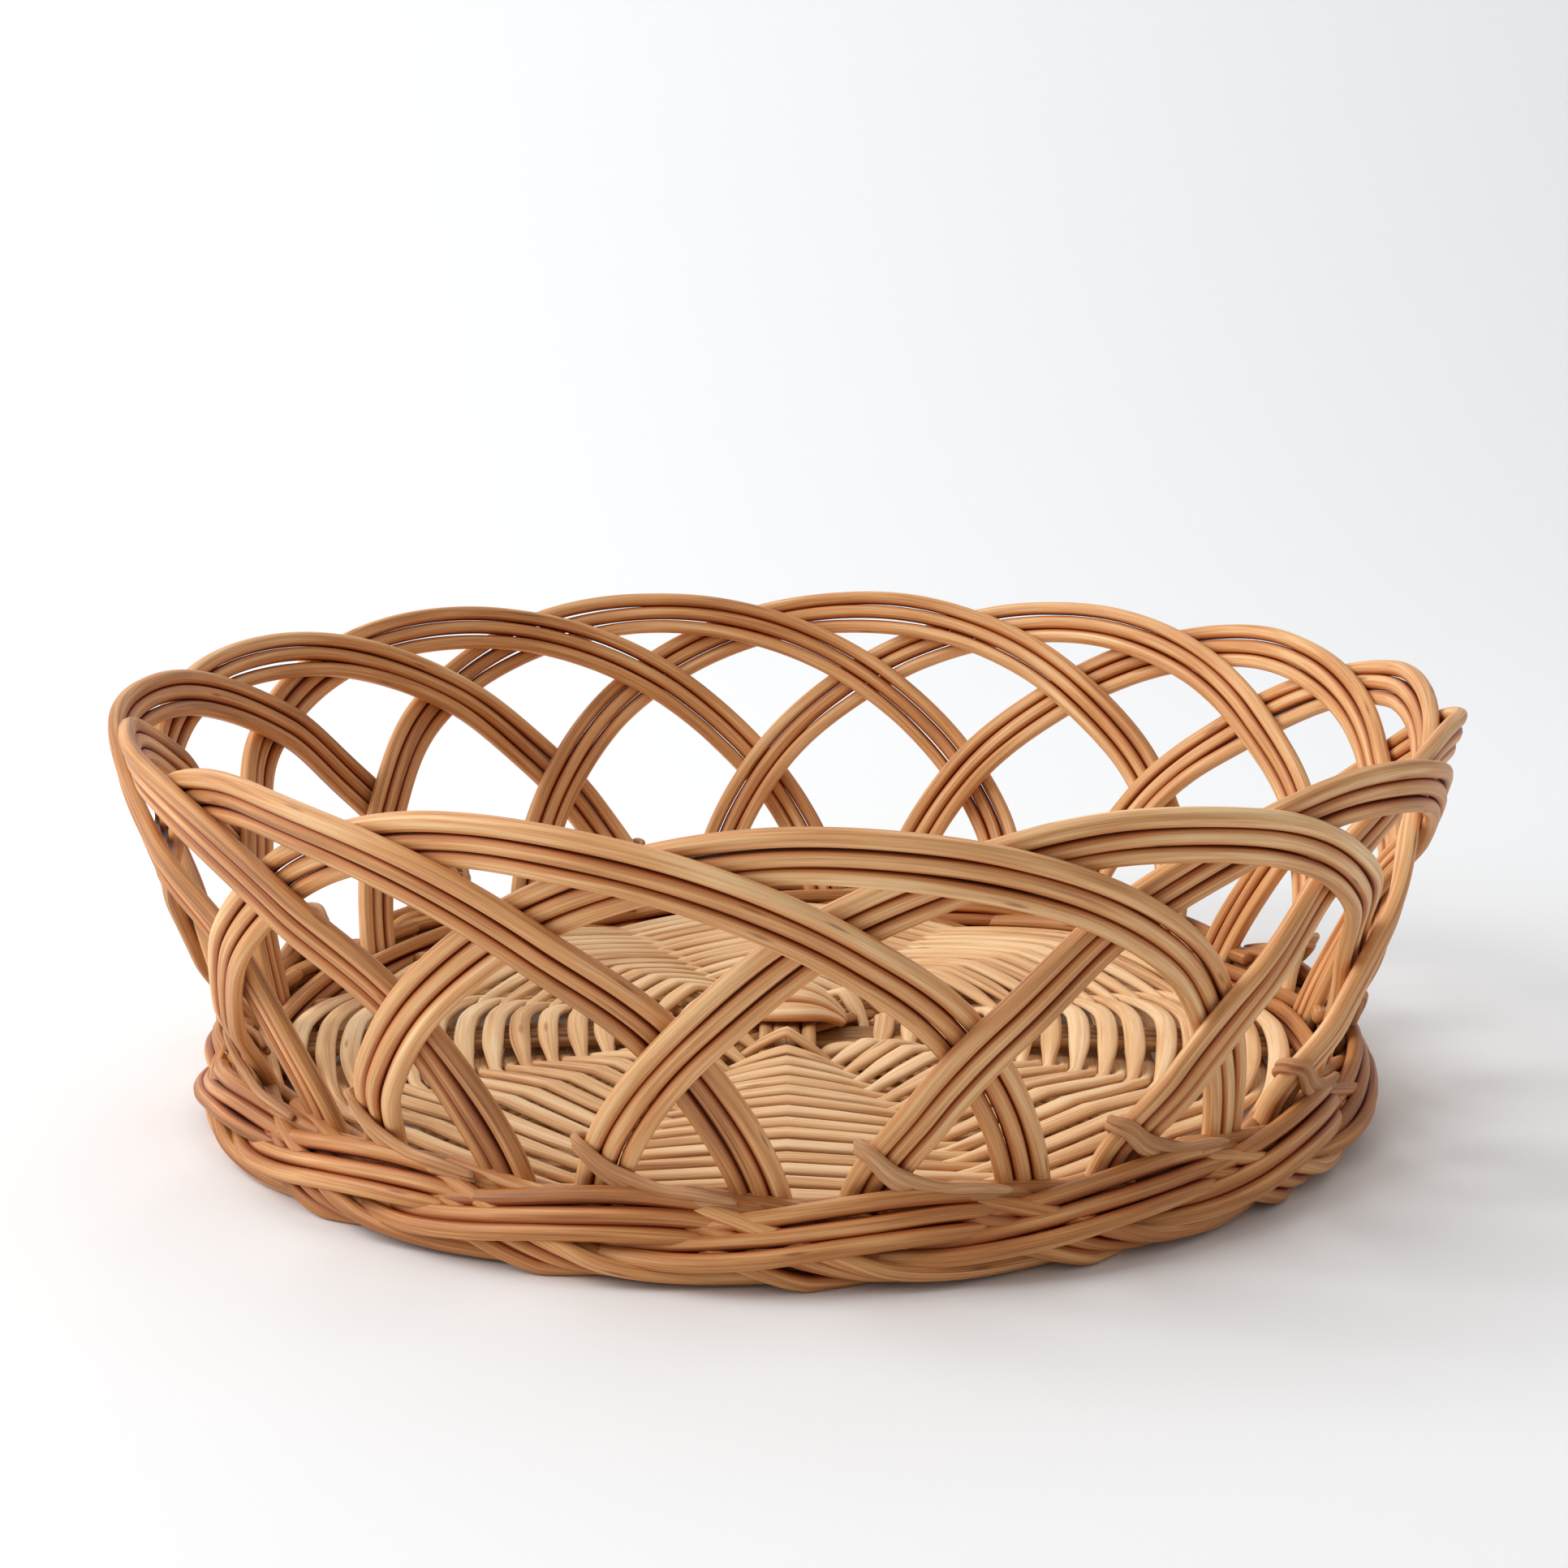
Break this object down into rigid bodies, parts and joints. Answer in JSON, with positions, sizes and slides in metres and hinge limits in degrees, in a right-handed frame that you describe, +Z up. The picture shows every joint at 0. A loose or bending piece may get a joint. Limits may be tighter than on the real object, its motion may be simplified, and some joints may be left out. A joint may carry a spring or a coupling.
{
  "type": "woven wicker basket",
  "caption": "Low round open-work wicker basket: flared wall of overlapping rod arches, roped foot border and a woven floor.",
  "frame": {"origin": "on the table under the middle of the basket, at the middle of its box's underside", "axes": "+Z up, -Y the side seen in front, +X to that viewer's right"},
  "size_m": [0.3495, 0.3486, 0.1085],
  "materials": {
    "arch_rods": "peeled rattan rods, honey brown, smooth and slightly waxy, with fine grain along the rod",
    "collar_strip": "split rattan strip, matt, with fine grain along it",
    "border_rods": "peeled rattan rods, honey brown, smooth and slightly waxy",
    "spoke_sticks": "pale rattan sticks, matt",
    "floor_strips": "pale straw-coloured rattan, matt, with fine grain along it"
  },
  "bodies": {
    "root": {"arch_01": "arch_rods", "arch_02": "arch_rods", "arch_03": "arch_rods", "arch_04": "arch_rods", "arch_05": "arch_rods", "arch_06": "arch_rods", "arch_07": "arch_rods", "arch_08": "arch_rods", "arch_09": "arch_rods", "arch_10": "arch_rods", "arch_11": "arch_rods", "arch_12": "arch_rods", "arch_13": "arch_rods", "arch_14": "arch_rods", "arch_15": "arch_rods", "border_strand_01": "border_rods", "border_strand_02": "border_rods", "border_strand_03": "border_rods", "border_strand_04": "border_rods", "border_strand_05": "border_rods", "border_strand_06": "border_rods", "border_strand_07": "border_rods", "border_strand_08": "border_rods", "border_strand_09": "border_rods", "border_strand_10": "border_rods", "border_strand_11": "border_rods", "border_strand_12": "border_rods", "border_strand_13": "border_rods", "border_strand_14": "border_rods", "border_strand_15": "border_rods", "centre_binding": "floor_strips", "collar_01": "collar_strip", "collar_02": "collar_strip", "collar_03": "collar_strip", "collar_04": "collar_strip", "collar_05": "collar_strip", "collar_06": "collar_strip", "collar_07": "collar_strip", "collar_08": "collar_strip", "collar_09": "collar_strip", "collar_10": "collar_strip", "collar_11": "collar_strip", "collar_12": "collar_strip", "collar_13": "collar_strip", "collar_14": "collar_strip", "collar_15": "collar_strip", "floor_course_01": "floor_strips", "floor_course_02": "floor_strips", "floor_course_03": "floor_strips", "floor_course_04": "floor_strips", "floor_course_05": "floor_strips", "floor_course_06": "floor_strips", "floor_course_07": "floor_strips", "floor_course_08": "floor_strips", "floor_course_09": "floor_strips", "floor_course_10": "floor_strips", "spoke_bundle_01": "spoke_sticks", "spoke_bundle_02": "spoke_sticks", "spoke_bundle_03": "spoke_sticks", "spoke_bundle_04": "spoke_sticks"}
  },
  "joints": []
}
